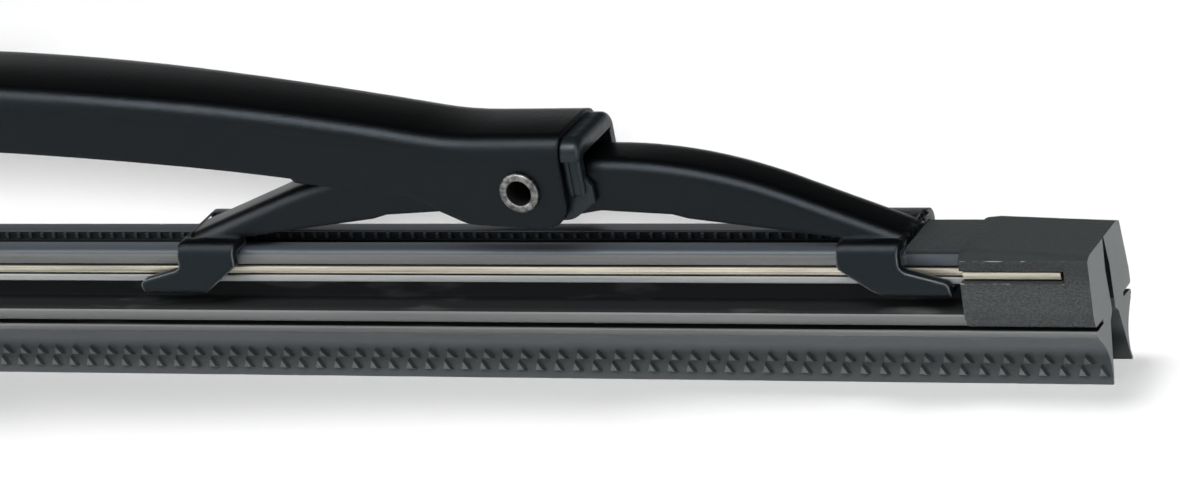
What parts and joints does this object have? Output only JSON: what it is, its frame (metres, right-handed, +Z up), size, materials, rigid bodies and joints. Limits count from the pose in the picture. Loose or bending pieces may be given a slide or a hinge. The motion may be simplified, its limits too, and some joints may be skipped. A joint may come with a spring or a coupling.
{
  "type": "wiper blade",
  "caption": "Conventional windscreen wiper blade: an arched steel bridge with hinged levers and claw yokes holding a twin-lip rubber squeegee stiffened by spring steel strips.",
  "frame": {"origin": "middle of the arm tube's bore", "axes": "+X along the blade, +Y along the arm tube, +Z up, away from the windscreen"},
  "size_m": [0.475, 0.0166, 0.0451],
  "materials": {
    "black_paint": "satin black paint",
    "rivet_steel": "bright rolled steel",
    "black_plastic": "moulded black",
    "rubber": "matte dark grey rubber",
    "strip_steel": "bare rolled spring steel"
  },
  "bodies": {
    "bridge": {"primary_bridge": "black_paint", "arm_tube": "rivet_steel", "squeegee": "rubber", "strip_front": "strip_steel", "strip_rear": "strip_steel", "bridge_rivet_left": "rivet_steel", "bridge_liner_left": "black_plastic", "bridge_rivet_right": "rivet_steel", "bridge_liner_right": "black_plastic"},
    "adapter": {"hook_adapter": "black_plastic"},
    "lever_left": {"lever_left": "black_paint", "yoke_rivet_left_inner": "rivet_steel", "yoke_liner_left_inner": "black_plastic", "yoke_rivet_left_outer": "rivet_steel", "yoke_liner_left_outer": "black_plastic"},
    "yoke_left_inner": {"yoke_left_inner": "black_paint"},
    "yoke_left_outer": {"yoke_left_outer": "black_paint"},
    "lever_right": {"lever_right": "black_paint", "yoke_rivet_right_inner": "rivet_steel", "yoke_liner_right_inner": "black_plastic", "yoke_rivet_right_outer": "rivet_steel", "yoke_liner_right_outer": "black_plastic"},
    "yoke_right_inner": {"yoke_right_inner": "black_paint"},
    "yoke_right_outer": {"yoke_right_outer": "black_paint"}
  },
  "joints": [
    {"name": "adapter_swivel", "type": "hinge", "parent": "bridge", "child": "adapter", "pos_m": [0, 0, 0], "axis": [0, 1, 0], "range_deg": [-20, 20]},
    {"name": "lever_pivot_left", "type": "hinge", "parent": "bridge", "child": "lever_left", "pos_m": [-0.125, 0, -0.0108], "axis": [0, 1, 0], "range_deg": [-5, 5], "stiffness_Nm_per_rad": 0.1, "deforming": ["squeegee", "strip_front", "strip_rear"]},
    {"name": "yoke_pivot_left_inner", "type": "hinge", "parent": "lever_left", "child": "yoke_left_inner", "pos_m": [-0.0625, 0, -0.0185], "axis": [0, 1, 0], "range_deg": [-5, 5], "stiffness_Nm_per_rad": 0.02, "deforming": ["squeegee", "strip_front", "strip_rear"]},
    {"name": "yoke_pivot_left_outer", "type": "hinge", "parent": "lever_left", "child": "yoke_left_outer", "pos_m": [-0.1875, 0, -0.0185], "axis": [0, 1, 0], "range_deg": [-5, 5], "stiffness_Nm_per_rad": 0.02, "deforming": ["squeegee", "strip_front", "strip_rear"]},
    {"name": "lever_pivot_right", "type": "hinge", "parent": "bridge", "child": "lever_right", "pos_m": [0.125, 0, -0.0108], "axis": [0, 1, 0], "range_deg": [-5, 5], "stiffness_Nm_per_rad": 0.1, "deforming": ["squeegee", "strip_front", "strip_rear"]},
    {"name": "yoke_pivot_right_inner", "type": "hinge", "parent": "lever_right", "child": "yoke_right_inner", "pos_m": [0.0625, 0, -0.0185], "axis": [0, 1, 0], "range_deg": [-5, 5], "stiffness_Nm_per_rad": 0.02, "deforming": ["squeegee", "strip_front", "strip_rear"]},
    {"name": "yoke_pivot_right_outer", "type": "hinge", "parent": "lever_right", "child": "yoke_right_outer", "pos_m": [0.1875, 0, -0.0185], "axis": [0, 1, 0], "range_deg": [-5, 5], "stiffness_Nm_per_rad": 0.02, "deforming": ["squeegee", "strip_front", "strip_rear"]}
  ]
}
